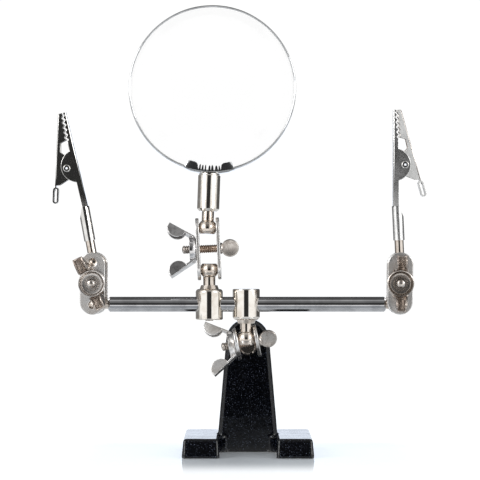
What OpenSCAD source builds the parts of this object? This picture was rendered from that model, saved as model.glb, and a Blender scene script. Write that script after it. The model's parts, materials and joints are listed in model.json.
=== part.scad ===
// Helping hands clamp: a cast stand carries a cross bar on a ball-jointed link. The bar has an
// alligator clip on a ball-jointed link at each end and a magnifier on a third link.
// Millimetres. X runs along the bar, -Y is the front, Z is up, and the stand rests on z = 0.

/* [Stand casting] */
// Depth of the two feet, front to back
foot_depth = 56; // [52:1:70]
// Width over both feet at the ground
stand_w = 50.7; // [46:0.1:60]
// Width of one foot
foot_w = 14.6; // [12:0.1:15]
// Height of a foot
foot_h = 7.5; // [6:0.1:9]
// How much each side of a foot draws in towards its top
foot_draft = 0.5; // [0.2:0.1:1]
// Width of the upright where it leaves the feet
upright_foot_w = 23.2; // [21:0.1:24]
// Radius of the upright's round top
upright_top_r = 8.5; // [7.5:0.1:9.5]
// Height of the centre of the round top
upright_round_z = 44; // [40:0.5:44]
// Thickness of the upright
upright_t = 12; // [12:0.5:14]
// Width of the chamfers on the edges of the upright's front and back
upright_edge = 1.3; // [0.5:0.1:2]
// Distance from the middle of the feet to the front face of the upright
upright_front = 1.3; // [0:0.1:3]
// Height of the ball stud's axis in the upright
upright_stud_z = 41.9; // [40:0.1:43]
// Rounding of the casting's edges
casting_round = 1.2; // [0.8:0.1:1.5]
// Radius of the fillets between the upright and the feet
fillet_r = 3; // [2:0.1:4]

/* [Ball joints] */
// Diameter of every ball
ball_d = 7.2; // [6.8:0.1:7.4]
// Height cut off the ball's free end
ball_flat = 1.2; // [0.8:0.1:1.5]
// Diameter of the seat holes that hold a ball
seat_hole_d = 3.1; // [2.6:0.1:3.6]
// Clearance between a ball and the edges of its seats
seat_clear = 0.03; // [0.02:0.01:0.06]
// Diameter of the necks of the ball studs
neck_d = 4.7; // [4.4:0.1:5]
// Diameter of the rods of the clips and of the necks at the bar's ends
rod_d = 3.55; // [3.4:0.05:3.6]
// Diameter of the threaded shanks of the ball studs
shank_d = 3.4; // [3:0.1:3.6]
// Length of the threaded shanks in the collars
collar_shank_l = 2.4; // [2:0.1:2.6]
// Radial clearance of threads and pins that turn in their holes
turn_clear = 0.06; // [0.03:0.01:0.09]
// Distance from the upright to the ball in front of it
base_reach = 5.3; // [5.3:0.1:7]
// Distance from a collar to its ball
collar_reach = 7.3; // [6.8:0.1:9]
// Distance from the left end of the bar to its ball
left_reach = 5.6; // [5.2:0.1:7]
// Distance from the right end of the bar to its ball
right_reach = 5.3; // [5.2:0.1:7]
// Diameter of a collar stud's shoulder at the collar
shoulder_d = 7.4; // [6.6:0.1:8]
// Height of a collar stud's shoulder
shoulder_h = 1.4; // [1:0.1:1.8]

/* [Ball links] */
// Distance between the two balls of a link
ball_spacing = 16.1; // [15:0.1:18]
// How far a plate reaches past the middle of a ball
plate_end = 3.9; // [3.7:0.1:4.4]
// Width of a link plate
plate_w = 9.7; // [9:0.1:10]
// Thickness of a link plate
plate_t = 1.3; // [0.9:0.1:1.4]

/* [Thumb screws and wing nuts] */
// Diameter of the clamp screw
screw_d = 3.2; // [2.8:0.1:3.6]
// How far the screw's tip stands out past the wing nut's plate
screw_tip = 5.5; // [3.5:0.1:6]
// Diameter of the screw's flat round head
paddle_d = 6.8; // [6:0.1:8]
// Thickness of the flat round head
paddle_t = 1.3; // [1:0.1:1.8]
// Length of the shoulder between the plate and the head
screw_shoulder = 0.3; // [0.2:0.1:1.5]
// Diameter of that shoulder
screw_shoulder_d = 4.4; // [4:0.1:5]
// Diameter of the wing nut's hub
nut_hub_d = 10.4; // [9.5:0.1:11]
// Height of the hub's rim
nut_rim_h = 2.6; // [2:0.1:3]
// Distance from wing tip to wing tip
nut_span = 21.6; // [20:0.1:24]
// Height of the wings over the plate
nut_h = 9.9; // [8:0.1:10]
// Thickness of the wing nut's sheet
nut_t = 0.7; // [0.6:0.05:0.9]
// Width of a wing where it leaves the hub
wing_root_w = 6; // [5.5:0.1:6.4]
// Width of a wing at its tip
wing_tip_w = 4; // [3.6:0.1:4.6]
// Radius of the round ears along both edges of a wing
wing_ear_r = 3.8; // [3:0.1:4]
// Gap between the wing nut or the shoulder and its plate
face_gap = 0.05; // [0.03:0.01:0.1]

/* [Cross bar and collars] */
// Diameter of the cross bar
bar_d = 5.8; // [5:0.1:6.2]
// Length of the cross bar
bar_l = 106.5; // [100:0.5:130]
// How far the bar is slid through the base collar
bar_shift = 0.3; // [-3:0.1:3]
// Chamfer at the bar's ends
bar_chamfer = 0.6; // [0.3:0.1:0.8]
// Diameter of a collar
collar_d = 10.5; // [10:0.1:12]
// Height of a collar
collar_h = 11.9; // [11.6:0.1:13]
// Rounding of the rim at a collar's stud end
collar_round = 1.3; // [0.6:0.1:1.5]
// Rounding of the rim at a collar's other end
collar_edge = 0.5; // [0.3:0.1:1]
// Distance between the axes of the two collars
collar_spacing = 14.2; // [13:0.1:20]
// Radial clearance between the bar and a collar
bar_clear = 0.05; // [0.03:0.01:0.09]
// Diameter of a set screw
set_screw_d = 3; // [2.6:0.1:3.4]
// How far the lens collar's set screw stands out; the base collar's is flush
set_screw_proud = 0.4; // [0:0.1:0.6]

/* [Clips] */
// Distance from the ball to the lower end of the clip's barrel
barrel_z = 8.5; // [8:0.1:11]
// Length of the barrel
barrel_l = 13.2; // [12:0.1:18]
// Outside diameter of the barrel
barrel_d = 4.35; // [4.3:0.05:5]
// Length of the barrel's slanted end
barrel_slant = 4; // [3:0.5:5]
// Length of the rod inside the barrel
rod_in = 9; // [7:0.5:9.5]
// Length of the jaws, from the tips to the barrel
jaw_l = 37; // [34.4:0.1:38]
// Thickness of the jaws' sheet
jaw_t = 0.6; // [0.5:0.05:0.65]
// Angle between the fixed jaw and the barrel
jaw_incline = 2.8; // [2:0.1:4.5]
// Angle between the backs of the closed jaws
jaw_angle = 15.6; // [15:0.1:16.5]
// Distance over the backs of the closed jaws at their tips
tip_h = 3.2; // [3:0.1:3.6]
// Width of the jaws at their tips
tip_w = 3.4; // [3:0.1:3.8]
// Width over the fixed jaw's cheeks
cheek_w = 5.6; // [5.4:0.1:6.4]
// Radius of the fixed jaw's half-round cheeks
cheek_r = 6.3; // [6:0.1:6.6]
// Distance from the tips to the pivot
pivot_z = 21.1; // [20.6:0.1:21.6]
// Distance from the fixed jaw's back to the pivot
pivot_x = 4.65; // [4.5:0.05:4.9]
// Pitch of the teeth
tooth_pitch = 1.9; // [1.8:0.05:1.95]
// Half the height of a tooth
tooth_h = 0.4; // [0.3:0.05:0.5]
// Gap between the jaws along the teeth
tooth_gap = 0.6; // [0.5:0.05:0.7]
// Diameter of the pivot rivet
rivet_d = 1.9; // [1.6:0.1:2.1]
// Diameter of the rivet's heads
rivet_head_d = 2.9; // [2.7:0.1:3.4]
// Diameter of the spring wire
wire_d = 0.5; // [0.4:0.05:0.55]
// Outside diameter of the thumb tab's loop
tab_d = 2.2; // [2:0.1:2.8]
// Length of the thumb tab's loop
tab_l = 6.3; // [5:0.1:6.6]

/* [Magnifier] */
// Outside diameter of the lens band
band_d = 64.5; // [58:0.5:75]
// Width of the lens band
band_w = 5; // [4.6:0.1:6]
// Thickness of the lens band
band_t = 0.5; // [0.4:0.1:0.8]
// How far the band's rolled edges stand in over the lens
band_lip = 0.3; // [0.2:0.1:0.6]
// Thickness of the lens at its edge
lens_edge = 1.6; // [1.2:0.1:2]
// Radius of the lens faces
lens_face_r = 115; // [105:1:150]
// Distance from the upper ball to the ferrule
ferrule_z = 6.3; // [6:0.1:9]
// Length of the ferrule
ferrule_l = 14.6; // [12:0.1:20]
// Diameter of the ferrule
ferrule_d = 8.6; // [7.6:0.1:10]
// Chamfer at the ferrule's lower end
ferrule_chamfer = 1; // [0.5:0.1:1.2]
// Length of the stud's thread in the ferrule
ferrule_shank_l = 8; // [5:0.5:10]
// Length of the lens saddle along the band
saddle_l = 20; // [16:0.5:26]
// Height of the saddle's walls over the outside of the band
saddle_h = 3.3; // [2:0.1:4]
// Thickness of the saddle's sheet
saddle_t = 0.6; // [0.4:0.1:0.8]
// Share of the saddle's length that its low crimped stretch takes
saddle_crimp = 0.45; // [0.3:0.05:0.6]

/* [Angles of the parts at rest] */
// Roll of the base link about its stud
base_roll = 10.5; // [5:0.5:12]
// Rise of the base link towards the front
base_pitch = 13; // [10:0.5:20]
// Lean of the lens link to the left
lens_link_lean = 2.5; // [0:0.1:4]
// Lean of the magnifier to the right
head_lean = 2; // [0:0.1:3]
// Lean of the magnifier to the back
head_back = 3.5; // [0:0.5:5]
// Turn of the left link about the vertical
left_link_turn = 4.5; // [0:0.5:6]
// Lean of the right link to the right
right_link_lean = 0.9; // [0:0.1:4]
// Lean of the left clip's rod to the left
left_rod_lean = 10.5; // [5:0.5:12]
// Lean of the right clip's rod to the left
right_rod_lean = 2.6; // [0:0.1:6]
// Turn of the base link's wing nut from the link's length
base_nut_turn = 90; // [80:1:100]
// Turn of the lens link's wing nut from the link's length
lens_nut_turn = 15; // [0:1:25]
// Turn of the left link's wing nut from the link's length
left_nut_turn = 25; // [0:1:30]
// Turn of the right link's wing nut from the link's length
right_nut_turn = 0; // [-10:1:10]

/* [Hidden] */
$fn = 64;
eps = 0.01;

// Finishes
nickel = [0.80, 0.77, 0.71];
dull_nickel = [0.56, 0.53, 0.50];
chrome = [0.62, 0.63, 0.65];
black_paint = [0.05, 0.05, 0.06];
clear_glass = [0.85, 0.92, 0.95, 0.4];

// The ball seats: the edges of the seat holes touch the ball, which sets the plates' distance
ball_r = ball_d / 2;
plate_in = sqrt(pow(ball_r, 2) - pow(seat_hole_d / 2, 2)) + seat_clear;
plate_out = plate_in + plate_t;
plate_l = ball_spacing + 2 * plate_end;

// Where the balls and collars come, from the stand upwards
rear_ball = [0, upright_front - base_reach, upright_stud_z];
front_ball = rear_ball + ball_spacing
    * [-sin(base_roll) * sin(base_pitch), -cos(base_pitch), cos(base_roll) * sin(base_pitch)];
base_collar_at = front_ball + [0, 0, collar_reach + collar_h / 2];
lens_collar_at = base_collar_at - [collar_spacing, 0, 0];
lens_low_ball = lens_collar_at + [0, 0, collar_h / 2 + collar_reach];
lens_high_ball = lens_low_ball + ball_spacing * [-sin(lens_link_lean), 0, cos(lens_link_lean)];
bar_at = base_collar_at + [bar_shift, 0, 0];
left_low_ball = bar_at - [bar_l / 2 + left_reach, 0, 0];
right_low_ball = bar_at + [bar_l / 2 + right_reach, 0, 0];
left_high_ball = left_low_ball + [0, 0, ball_spacing];
right_high_ball = right_low_ball + ball_spacing * [sin(right_link_lean), 0, cos(right_link_lean)];

// Turns of the four screw heads from their links' length
base_paddle_turn = 65;
lens_paddle_turn = -6;
left_paddle_turn = 35;
right_paddle_turn = -20;

// Frames: a link's frame has its origin midway between the balls, Z along the link and X across
// the plates; the wing nut is on the -X side
module in_base_link() {
    translate(rear_ball) rotate([0, -base_roll, 0]) rotate([90 - base_pitch, 0, 0])
        translate([0, 0, ball_spacing / 2]) children();
}

module in_lens_link() {
    translate(lens_low_ball) rotate([0, -lens_link_lean, 0])
        translate([0, 0, ball_spacing / 2]) children();
}

module in_left_link() {
    translate(left_low_ball) rotate([0, 0, 90 - left_link_turn])
        translate([0, 0, ball_spacing / 2]) children();
}

module in_right_link() {
    translate(right_low_ball) rotate([0, right_link_lean, 0]) rotate([0, 0, 90])
        translate([0, 0, ball_spacing / 2]) children();
}

// A clip's frame has its origin at the ball, Z along the rod and X towards the moving jaw
module in_left_clip() {
    translate(left_high_ball) rotate([0, -left_rod_lean, 0]) rotate([0, 0, 180]) children();
}

module in_right_clip() {
    translate(right_high_ball) rotate([0, -right_rod_lean, 0]) children();
}

// The magnifier's frame has its origin at the upper ball, Z up the ferrule and Y through the lens
module in_magnifier() {
    translate(lens_high_ball) rotate([0, head_lean, 0]) rotate([-head_back, 0, 0]) children();
}

// ---------------------------------------------------------------- stand

// One foot: a block with round edges that draws in towards its top
module foot(side) {
    peg_r = casting_round + 0.3;
    outer = side * stand_w / 2;
    inner = side * (stand_w / 2 - foot_w);
    hull()
        for (x = [outer - side * peg_r, inner + side * peg_r], y = [-1, 1]) {
            translate([x, y * (foot_depth / 2 - peg_r), 0]) cylinder(r = peg_r, h = 1, $fn = 32);
            translate([x, y * (foot_depth / 2 - peg_r - foot_draft), foot_h - casting_round])
                rotate_extrude($fn = 32)
                    intersection() {
                        translate([peg_r - foot_draft - casting_round, 0])
                            circle(r = casting_round, $fn = 24);
                        square([peg_r, casting_round]);
                    }
        }
}

// The upright's outline, seen from the front
module upright_outline() {
    hull() {
        translate([0, upright_round_z]) circle(r = upright_top_r, $fn = 64);
        translate([-upright_foot_w / 2, foot_h]) square([upright_foot_w, 1]);
    }
    translate([-upright_foot_w / 2, 0]) square([upright_foot_w, foot_h + 1]);
}

// The upright, with chamfered edges front and back
module upright() {
    translate([0, upright_front, 0]) rotate([90, 0, 0]) mirror([0, 0, 1])
        hull() {
            translate([0, 0, upright_edge])
                linear_extrude(upright_t - 2 * upright_edge) upright_outline();
            linear_extrude(upright_t) offset(delta = -upright_edge) upright_outline();
        }
}

// Fillets that stand in the corners between the upright and the feet
module stand_fillets() {
    inner = stand_w / 2 - foot_w;
    for (side = [-1, 1], back = [0, 1])
        translate([side * inner, upright_front + back * upright_t, 0])
            mirror([side < 0 ? 0 : 1, 0, 0]) mirror([0, back ? 0 : 1, 0])
                linear_extrude(foot_h - casting_round)
                    difference() {
                        translate([-1, -1]) square(fillet_r + 1);
                        translate([fillet_r, fillet_r]) circle(r = fillet_r, $fn = 32);
                    }
}

module base_casting() {
    color(black_paint)
        difference() {
            union() {
                foot(-1);
                foot(1);
                upright();
                stand_fillets();
            }
            translate([0, upright_front - 1, upright_stud_z]) rotate([-90, 0, 0])
                cylinder(d = neck_d + 2 * turn_clear, h = upright_t - 2);
        }
}

// ---------------------------------------------------------------- ball studs

// A ball with a flat free end and its neck; the ball's centre is the origin and the neck goes up
module ball_and_neck(neck, reach) {
    difference() {
        sphere(d = ball_d);
        translate([-ball_r, -ball_r, -ball_d]) cube([ball_d, ball_d, ball_r + ball_flat]);
    }
    cylinder(d = neck, h = reach);
}

module collar_stud() {
    ball_and_neck(neck_d, collar_reach);
    translate([0, 0, collar_reach - shoulder_h])
        cylinder(d1 = neck_d + 1.6, d2 = shoulder_d, h = shoulder_h);
    translate([0, 0, collar_reach - eps]) cylinder(d = shank_d, h = collar_shank_l + eps);
}

module base_ball_stud() {
    color(nickel) translate(rear_ball) rotate([-90, 0, 0])
        ball_and_neck(neck_d, base_reach + upright_t - 4);
}

module base_collar_ball_stud() {
    color(nickel) translate(front_ball) collar_stud();
}

module lens_collar_ball_stud() {
    color(nickel) translate(lens_low_ball) mirror([0, 0, 1]) collar_stud();
}

// The stud in an end of the bar
module bar_stud(reach) {
    ball_and_neck(rod_d, reach - face_gap);
    translate([0, 0, reach - face_gap - eps]) cylinder(d = shank_d, h = 6);
}

module left_bar_ball_stud() {
    color(nickel) translate(left_low_ball) rotate([0, 90, 0]) bar_stud(left_reach);
}

module right_bar_ball_stud() {
    color(nickel) translate(right_low_ball) rotate([0, -90, 0]) bar_stud(right_reach);
}

module clip_ball_stud() {
    color(nickel) ball_and_neck(rod_d, barrel_z + rod_in);
}

module lens_ball_stud() {
    color(nickel) in_magnifier() {
        ball_and_neck(neck_d, ferrule_z - face_gap);
        translate([0, 0, ferrule_z - face_gap - eps]) cylinder(d = shank_d, h = ferrule_shank_l);
    }
}

// ---------------------------------------------------------------- links

// One plate of a link, on the +X side
module link_plate() {
    color(nickel) translate([plate_in, 0, 0]) rotate([90, 0, 90]) linear_extrude(plate_t)
        difference() {
            union() {
                for (end = [-1, 1])
                    translate([0, end * (plate_l - plate_w) / 2]) circle(d = plate_w);
                square([plate_w, plate_l - plate_w], center = true);
            }
            for (end = [-1, 1]) translate([0, end * ball_spacing / 2]) circle(d = seat_hole_d);
            circle(d = screw_d + 2 * turn_clear);
        }
}

// The clamp screw: a flat round head on a shoulder, and a shank that crosses both plates
module thumb_screw(turn) {
    head_z = -(screw_shoulder + paddle_d / 2);
    shank = 2 * (plate_out + face_gap) + screw_tip;
    color(dull_nickel) translate([plate_out + face_gap, 0, 0]) rotate([0, -90, 0])
        rotate([0, 0, turn]) {
            translate([0, 0, head_z]) rotate([90, 0, 0])
                cylinder(d = paddle_d, h = paddle_t, center = true);
            translate([0, 0, -screw_shoulder - 0.8])
                cylinder(d = screw_shoulder_d, h = screw_shoulder + 0.8);
            cylinder(d = screw_d, h = shank - 0.4);
            translate([0, 0, shank - 0.4]) cylinder(d1 = screw_d, d2 = screw_d - 0.8, h = 0.4);
        }
}

// One wing: a web that leans out from the hub, with a round ear bent up along each edge
module wing() {
    root = [nut_hub_d / 2 - 0.6, nut_t / 2];
    run = [nut_span / 2 - root[0], nut_h - root[1]];
    web_l = norm(run);
    lean = atan2(run[0], run[1]);
    taper = atan2((wing_root_w - wing_tip_w) / 2, web_l);
    translate([root[0], 0, root[1]]) rotate([0, lean, 0]) {
        // The web lies along +Z with its outer face on +X
        translate([-nut_t, 0, 0]) rotate([90, 0, 90]) linear_extrude(nut_t)
            polygon([
                [-wing_root_w / 2, 0], [wing_root_w / 2, 0],
                [wing_tip_w / 2, web_l], [-wing_tip_w / 2, web_l]
            ]);
        for (side = [-1, 1])
            translate([0, side * wing_root_w / 2, 0]) rotate([side * taper, 0, 0])
                rotate([90, 0, 0]) translate([0, 0, side > 0 ? 0 : -nut_t]) linear_extrude(nut_t)
                    intersection() {
                        translate([-nut_t / 2, web_l - wing_ear_r + 0.3]) circle(r = wing_ear_r);
                        translate([-2 * wing_ear_r, 0]) square([2 * wing_ear_r, web_l]);
                    }
    }
}

// The stamped wing nut: its hub is a dish that rests on the plate at z = 0, open upwards
module wing_nut(turn) {
    bore_r = screw_d / 2 + turn_clear;
    rim_r = nut_hub_d / 2;
    floor_r = rim_r - 0.9;
    color(dull_nickel) translate([-plate_out - face_gap, 0, 0]) rotate([0, -90, 0])
        rotate([0, 0, turn]) {
            rotate_extrude()
                polygon([
                    [bore_r, 0], [floor_r, 0], [floor_r + 0.6, 0.5], [floor_r + 0.75, 0.9],
                    [floor_r + 0.75 - nut_t, 0.9 + nut_t / 2], [floor_r - nut_t, nut_t],
                    [bore_r + 0.9, nut_t], [bore_r + 0.7, 2], [bore_r, 2]
                ]);
            difference() {
                rotate_extrude()
                    polygon([
                        [floor_r + 0.1, 0.8], [floor_r + 0.72, 0.8], [rim_r, nut_rim_h],
                        [rim_r - nut_t, nut_rim_h]
                    ]);
                for (side = [-1, 1])
                    translate([side * rim_r, 0, nut_rim_h])
                        cube([rim_r + 1, wing_root_w - 2 * nut_t, 2 * nut_rim_h], center = true);
            }
            wing();
            rotate([0, 0, 180]) wing();
        }
}

module base_link_left_plate() {
    in_base_link() mirror([1, 0, 0]) link_plate();
}

module base_link_right_plate() {
    in_base_link() link_plate();
}

module base_link_thumb_screw() {
    in_base_link() thumb_screw(base_paddle_turn);
}

module base_link_wing_nut() {
    in_base_link() wing_nut(base_nut_turn);
}

module lens_link_left_plate() {
    in_lens_link() mirror([1, 0, 0]) link_plate();
}

module lens_link_right_plate() {
    in_lens_link() link_plate();
}

module lens_link_thumb_screw() {
    in_lens_link() thumb_screw(lens_paddle_turn);
}

module lens_link_wing_nut() {
    in_lens_link() wing_nut(lens_nut_turn);
}

module left_link_front_plate() {
    in_left_link() mirror([1, 0, 0]) link_plate();
}

module left_link_rear_plate() {
    in_left_link() link_plate();
}

module left_link_thumb_screw() {
    in_left_link() thumb_screw(left_paddle_turn);
}

module left_link_wing_nut() {
    in_left_link() wing_nut(left_nut_turn);
}

module right_link_front_plate() {
    in_right_link() mirror([1, 0, 0]) link_plate();
}

module right_link_rear_plate() {
    in_right_link() link_plate();
}

module right_link_thumb_screw() {
    in_right_link() thumb_screw(right_paddle_turn);
}

module right_link_wing_nut() {
    in_right_link() wing_nut(right_nut_turn);
}

// ---------------------------------------------------------------- bar and collars

// A collar with the bar's bore through it; the stud's hole is at the bottom and the set screw's
// at the top
module collar() {
    outline_r = collar_d / 2;
    color(nickel)
        difference() {
            rotate([0, 0, 90]) rotate_extrude() {
                translate([0, -collar_h / 2]) square([outline_r - collar_round, collar_h]);
                translate([0, collar_round - collar_h / 2])
                    square([outline_r, collar_h - collar_round - collar_edge]);
                translate([outline_r - collar_round, collar_round - collar_h / 2])
                    circle(r = collar_round);
                translate([0, collar_h / 2 - collar_edge])
                    square([outline_r - collar_edge, collar_edge]);
                translate([outline_r - collar_edge, collar_h / 2 - collar_edge])
                    circle(r = collar_edge);
            }
            rotate([0, 90, 0]) rotate([0, 0, 90])
                cylinder(d = bar_d + 2 * bar_clear, h = 2 * collar_d, center = true);
            translate([0, 0, -collar_h / 2 - 1]) rotate([0, 0, 45])
                cylinder(d = shank_d + 2 * turn_clear, h = 4);
            rotate([0, 0, 45]) cylinder(d = set_screw_d + 2 * turn_clear, h = collar_h);
        }
}

// The set screw of a collar, with its slot; it ends just clear of the bar
module set_screw(proud) {
    low = bar_d / 2 + bar_clear;
    length = collar_h / 2 + proud - low;
    color(dull_nickel) translate([0, 0, low])
        difference() {
            cylinder(d = set_screw_d, h = length);
            translate([-set_screw_d, -0.3, length - 0.8]) cube([2 * set_screw_d, 0.6, 1]);
        }
}

module base_collar() {
    translate(base_collar_at) collar();
}

module base_collar_set_screw() {
    translate(base_collar_at) set_screw(0);
}

module lens_collar() {
    translate(lens_collar_at) mirror([0, 0, 1]) collar();
}

module lens_collar_set_screw() {
    translate(lens_collar_at) mirror([0, 0, 1]) set_screw(set_screw_proud);
}

module cross_bar() {
    bore_l = 7;
    color(chrome) translate(bar_at) rotate([0, 90, 0])
        difference() {
            rotate_extrude()
                polygon([
                    [0, -bar_l / 2], [bar_d / 2 - bar_chamfer, -bar_l / 2],
                    [bar_d / 2, bar_chamfer - bar_l / 2], [bar_d / 2, bar_l / 2 - bar_chamfer],
                    [bar_d / 2 - bar_chamfer, bar_l / 2], [0, bar_l / 2]
                ]);
            for (end = [-1, 1])
                translate([0, 0, end * (bar_l - bore_l + 1) / 2])
                    cylinder(d = shank_d + 2 * turn_clear, h = bore_l + 1, center = true);
        }
}

// ---------------------------------------------------------------- clips

// The jaws are drawn side on: x from the fixed jaw's back, y up from its heel at the barrel
pivot = [pivot_x, jaw_l - pivot_z];
teeth_top = 0.9;
teeth_n = 5;
teeth_end = teeth_top + teeth_n * tooth_pitch;
parting_slope = 0.078;
shut_gap = 0.1;
shoulder_w = cheek_w - 2 * (jaw_t + 0.1);

// Where the jaws part, at a distance below the tips
function parting(d) = tip_h * 0.44 + parting_slope * d;
// The outside of the moving jaw's back, at a distance below the tips
function moving_back(d) = tip_h + tan(jaw_angle) * d;
// The points of a row of teeth, moved sideways
function tooth_row(shift) = [
    for (i = [0 : 2 * teeth_n])
        let (d = teeth_top + i * tooth_pitch / 2)
        [parting(d) + shift + (i % 2 == 0 ? -1 : 1) * tooth_h, jaw_l - d]
];

module in_jaws() {
    translate([-barrel_d / 2 + jaw_t / 2, 0, barrel_z + barrel_l - eps])
        rotate([0, jaw_incline, 0]) children();
}

// Turns a side-on outline into a solid of the given width
module side_on(width) {
    rotate([90, 0, 0]) linear_extrude(width, center = true) children();
}

// Turns an outline of the jaw's width, seen on its back, into a block as deep as both jaws
module face_on() {
    translate([-1, 0, 0]) rotate([90, 0, 90]) linear_extrude(20) children();
}

// The jaw's width: narrow at the tip, out to full_w, then in to heel_w at the barrel; inset makes
// the inside of the channel
module jaw_width(full_w, full_d, heel_w, inset, low) {
    tip = tip_w / 2 - inset;
    mid = shoulder_w / 2 - inset;
    full = full_w / 2 - inset;
    heel = heel_w / 2 - inset;
    heel_y = jaw_l - pivot_z - cheek_r;
    polygon([
        [-tip, jaw_l - inset], [-mid, jaw_l - teeth_end], [-full, jaw_l - full_d],
        [-full, heel_y], [-heel, 0], [-heel, low], [heel, low], [heel, 0], [full, heel_y],
        [full, jaw_l - full_d], [mid, jaw_l - teeth_end], [tip, jaw_l - inset]
    ]);
}

module fixed_jaw_side() {
    window_x = 2.15;
    tail_x = 2.35;
    polygon(concat(
        [[0, 0], [0, jaw_l], [parting(0) - shut_gap / 2, jaw_l],
            [parting(0) - shut_gap / 2, jaw_l - jaw_t]],
        tooth_row(-tooth_gap / 2),
        [[window_x, jaw_l - teeth_end - 0.8], [window_x, jaw_l - pivot_z], [tail_x, 0]]
    ));
    intersection() {
        translate([0.5, jaw_l - pivot_z]) circle(r = cheek_r);
        translate([0, 0]) square([2 * cheek_r, jaw_l]);
    }
}

// The barrel, a tube whose upper end slants back to the depth of the jaw's tail
module barrel() {
    tail_front = 0.5;
    translate([0, 0, barrel_z])
        difference() {
            cylinder(d = barrel_d, h = barrel_l);
            translate([0, barrel_d, barrel_l]) rotate([90, 0, 0]) linear_extrude(2 * barrel_d)
                polygon([
                    [tail_front, 0.1], [barrel_d, 0.1], [barrel_d, -barrel_slant],
                    [barrel_d / 2 - 0.15, -barrel_slant]
                ]);
        }
}

module fixed_jaw() {
    full_d = 14;
    heel_w = barrel_d - 0.2;
    color(nickel)
        difference() {
            union() {
                in_jaws() {
                    intersection() {
                        side_on(cheek_w) fixed_jaw_side();
                        face_on() difference() {
                            jaw_width(cheek_w, full_d, heel_w, 0, -eps);
                            jaw_width(cheek_w, full_d, heel_w, jaw_t, -1);
                        }
                    }
                    intersection() {
                        face_on() jaw_width(cheek_w, full_d, heel_w, 0, -eps);
                        translate([0, -cheek_w / 2, 0]) cube([jaw_t, cheek_w, jaw_l]);
                    }
                }
                barrel();
            }
            in_jaws() translate([pivot[0], 0, pivot[1]]) rotate([90, 0, 0])
                cylinder(d = rivet_d + 2 * turn_clear, h = 2 * cheek_w, center = true);
            translate([0, 0, barrel_z - 1])
                cylinder(d = rod_d + 2 * turn_clear, h = rod_in + 1.5);
        }
}

module moving_jaw_side() {
    cheek_low = 26.6;
    polygon(concat(
        [[moving_back(cheek_low), jaw_l - cheek_low], [moving_back(0), jaw_l],
            [parting(0) + shut_gap / 2, jaw_l], [parting(0) + shut_gap / 2, jaw_l - jaw_t]],
        tooth_row(tooth_gap / 2),
        [[pivot_x + 0.1, jaw_l - 11.2], [pivot_x + 0.9, jaw_l - 14.6],
            [pivot_x - 0.2, jaw_l - 15.7], [pivot_x - 2.4, jaw_l - pivot_z],
            [pivot_x - 0.4, jaw_l - 25.2], [moving_back(cheek_low) - 2, jaw_l - cheek_low - 0.2]]
    ));
    translate(pivot) circle(r = pivot_x - jaw_t - 0.35);
}

// The moving jaw's back: a strip that ends in the rolled thumb tab
module moving_jaw_back() {
    back_l = 27.3;
    tab_r = tab_d / 2;
    polygon([
        [moving_back(0), jaw_l], [moving_back(back_l), jaw_l - back_l],
        [moving_back(back_l) - jaw_t / cos(jaw_angle), jaw_l - back_l],
        [moving_back(0) - jaw_t / cos(jaw_angle), jaw_l]
    ]);
    translate([moving_back(back_l), jaw_l - back_l]) rotate([0, 0, jaw_angle])
        translate([-tab_r / 3, -tab_r + 0.2])
            difference() {
                tab_outline(tab_r);
                tab_outline(tab_r - jaw_t);
            }
}

// The thumb tab's loop: round ends and straight sides
module tab_outline(r) {
    run = tab_l - tab_d;
    circle(r = r);
    translate([0, -run]) circle(r = r);
    translate([-r, -run]) square([2 * r, run]);
}

module moving_jaw() {
    full_d = 11;
    full_w = shoulder_w;
    color(nickel) in_jaws()
        difference() {
            union() {
                intersection() {
                    side_on(full_w) moving_jaw_side();
                    face_on() difference() {
                        jaw_width(full_w, full_d, full_w, 0, 0);
                        jaw_width(full_w, full_d, full_w, jaw_t, -1);
                    }
                }
                intersection() {
                    side_on(full_w) moving_jaw_back();
                    face_on() jaw_width(full_w, full_d, full_w, 0, -3);
                }
            }
            translate([pivot[0], 0, pivot[1]]) rotate([90, 0, 0])
                cylinder(d = rivet_d + 2 * turn_clear, h = 2 * cheek_w, center = true);
        }
}

// The hollow rivet, with a head on each side
module rivet() {
    head_t = 0.4;
    side_x = cheek_w / 2 + 0.02;
    color(nickel) in_jaws() translate([pivot[0], 0, pivot[1]]) rotate([90, 0, 0])
        difference() {
            union() {
                cylinder(d = rivet_d, h = 2 * (side_x + eps), center = true);
                for (side = [0, 1])
                    mirror([0, 0, side]) translate([0, 0, side_x])
                        cylinder(d1 = rivet_head_d, d2 = rivet_head_d - 0.6, h = head_t);
            }
            cylinder(d = rivet_d * 0.45, h = 3 * cheek_w, center = true);
        }
}

// The torsion spring: a leg on each jaw's back and two and a half turns round the rivet
coil_r = rivet_d / 2 + wire_d / 2 + 0.35;
coil_half = shoulder_w / 2 - jaw_t - wire_d / 2 - 0.1;
coil_steps = 36;
leg_d = 25.4;
leg_gap = jaw_t + wire_d / 2 + 0.05;
spring_path = concat(
    [[leg_gap, -coil_half, jaw_l - leg_d - 1],
        [(leg_gap + pivot_x - coil_r) / 2, -coil_half, jaw_l - pivot_z - 2.6]],
    [for (i = [0 : coil_steps])
        let (a = 180 - i * 900 / coil_steps)
        [pivot_x + coil_r * cos(a), coil_half * (2 * i / coil_steps - 1),
            jaw_l - pivot_z + coil_r * sin(a)]],
    [[(moving_back(leg_d) - leg_gap - 0.2 + pivot_x + coil_r) / 2, coil_half,
            jaw_l - pivot_z - 2],
        [moving_back(leg_d) - leg_gap - 0.2, coil_half, jaw_l - leg_d]]
);

function unit(v) = v / norm(v);

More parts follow.
